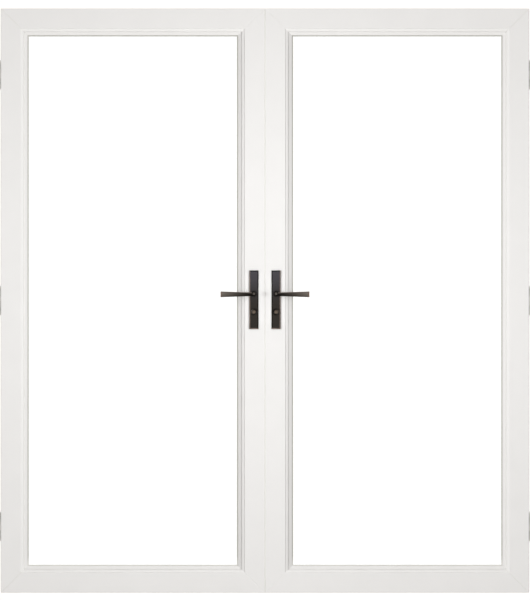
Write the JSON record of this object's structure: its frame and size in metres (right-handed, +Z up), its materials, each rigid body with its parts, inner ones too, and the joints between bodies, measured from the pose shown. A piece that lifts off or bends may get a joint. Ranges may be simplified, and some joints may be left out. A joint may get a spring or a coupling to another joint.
{
  "type": "french doors",
  "caption": "French doors: mirrored glazed leaves with stepped mouldings that lap a slim rebated frame, with lever handles, key cylinders, shoot bolts and side hinges.",
  "frame": {"origin": "middle of the sill's underside, half way through the frame's depth", "axes": "+Z up, +X to the right as seen from the front, the front faces -Y"},
  "size_m": [1.872, 0.176, 2.034],
  "materials": {
    "white_upvc": "satin",
    "grey_rubber": "matte",
    "white_rubber": "matte",
    "clear_glass": "clear",
    "spacer_aluminium": "satin",
    "dark_bronze": "oil-rubbed dark bronze with worn edges",
    "worn_brass": "worn",
    "zinc_steel": "zinc plated",
    "white_metal": "white powder coat",
    "black_plastic": "matte"
  },
  "bodies": {
    "frame": {"frame_head": "white_upvc", "frame_jamb_left": "white_upvc", "frame_jamb_right": "white_upvc", "frame_sill": "white_upvc", "frame_seals": "grey_rubber", "bolt_keepers": "zinc_steel", "hinge_frame_plates_left": "white_metal", "hinge_frame_plates_right": "white_metal", "hinge_pins_left": "white_metal", "hinge_pins_right": "white_metal"},
    "left_leaf": {"hinge_stile_left": "white_upvc", "meeting_stile_left": "white_upvc", "top_rail_left": "white_upvc", "bottom_rail_left": "white_upvc", "meeting_bar_left": "white_upvc", "beads_left": "white_upvc", "outer_pane_left": "clear_glass", "inner_pane_left": "clear_glass", "spacer_left": "spacer_aluminium", "glazing_seals_left": "grey_rubber", "setting_blocks_left": "black_plastic", "outer_plate_left": "dark_bronze", "inner_plate_left": "dark_bronze", "plate_bolts_left": "dark_bronze", "lock_case_left": "zinc_steel", "cylinder_left": "dark_bronze", "hinge_leaf_plates_left": "white_metal", "meeting_seal": "white_rubber"},
    "left_handle": {"outer_lever_left": "dark_bronze", "inner_lever_left": "dark_bronze", "spindle_left": "zinc_steel"},
    "left_plug": {"cylinder_plug_left": "worn_brass", "thumbturn_left": "dark_bronze"},
    "left_top_bolt": {"top_bolt_left": "zinc_steel"},
    "left_bottom_bolt": {"bottom_bolt_left": "zinc_steel"},
    "right_leaf": {"hinge_stile_right": "white_upvc", "meeting_stile_right": "white_upvc", "top_rail_right": "white_upvc", "bottom_rail_right": "white_upvc", "meeting_bar_right": "white_upvc", "beads_right": "white_upvc", "outer_pane_right": "clear_glass", "inner_pane_right": "clear_glass", "spacer_right": "spacer_aluminium", "glazing_seals_right": "grey_rubber", "setting_blocks_right": "black_plastic", "outer_plate_right": "dark_bronze", "inner_plate_right": "dark_bronze", "plate_bolts_right": "dark_bronze", "lock_case_right": "zinc_steel", "cylinder_right": "dark_bronze", "hinge_leaf_plates_right": "white_metal"},
    "right_handle": {"outer_lever_right": "dark_bronze", "inner_lever_right": "dark_bronze", "spindle_right": "zinc_steel"},
    "right_plug": {"cylinder_plug_right": "worn_brass", "thumbturn_right": "dark_bronze"},
    "right_top_bolt": {"top_bolt_right": "zinc_steel"},
    "right_bottom_bolt": {"bottom_bolt_right": "zinc_steel"}
  },
  "joints": [
    {"name": "left_leaf_swing", "type": "hinge", "parent": "frame", "child": "left_leaf", "pos_m": [-0.928, -0.06, 1.017], "axis": [0, 0, -1], "range_deg": [0, 100]},
    {"name": "left_lever_lift", "type": "hinge", "parent": "left_leaf", "child": "left_handle", "pos_m": [-0.0385, -0.036, 1.041], "axis": [0, 1, 0], "range_deg": [0, 45], "stiffness_Nm_per_rad": 1.5, "springref_deg": -17.19},
    {"name": "left_key_turn", "type": "hinge", "parent": "left_leaf", "child": "left_plug", "pos_m": [-0.0385, -0.036, 0.978], "axis": [0, -1, 0], "continuous": true},
    {"name": "left_top_bolt_throw", "type": "slide", "parent": "left_leaf", "child": "left_top_bolt", "axis": [0, 0, 1], "range_m": [0, 0.018]},
    {"name": "left_bottom_bolt_throw", "type": "slide", "parent": "left_leaf", "child": "left_bottom_bolt", "axis": [0, 0, -1], "range_m": [0, 0.018]},
    {"name": "right_leaf_swing", "type": "hinge", "parent": "frame", "child": "right_leaf", "pos_m": [0.928, -0.06, 1.017], "axis": [0, 0, 1], "range_deg": [0, 100]},
    {"name": "right_lever_lift", "type": "hinge", "parent": "right_leaf", "child": "right_handle", "pos_m": [0.0385, -0.036, 1.041], "axis": [0, -1, 0], "range_deg": [0, 45], "stiffness_Nm_per_rad": 1.5, "springref_deg": -17.19},
    {"name": "right_key_turn", "type": "hinge", "parent": "right_leaf", "child": "right_plug", "pos_m": [0.0385, -0.036, 0.978], "axis": [0, -1, 0], "continuous": true},
    {"name": "right_top_bolt_throw", "type": "slide", "parent": "right_leaf", "child": "right_top_bolt", "axis": [0, 0, 1], "range_m": [0, 0.018]},
    {"name": "right_bottom_bolt_throw", "type": "slide", "parent": "right_leaf", "child": "right_bottom_bolt", "axis": [0, 0, -1], "range_m": [0, 0.018]}
  ],
  "couplings": [
    {"joint": "left_top_bolt_throw", "follows": "left_lever_lift", "m_per_rad": 0.0229},
    {"joint": "left_bottom_bolt_throw", "follows": "left_lever_lift", "m_per_rad": 0.0229},
    {"joint": "right_top_bolt_throw", "follows": "right_lever_lift", "m_per_rad": 0.0229},
    {"joint": "right_bottom_bolt_throw", "follows": "right_lever_lift", "m_per_rad": 0.0229}
  ]
}
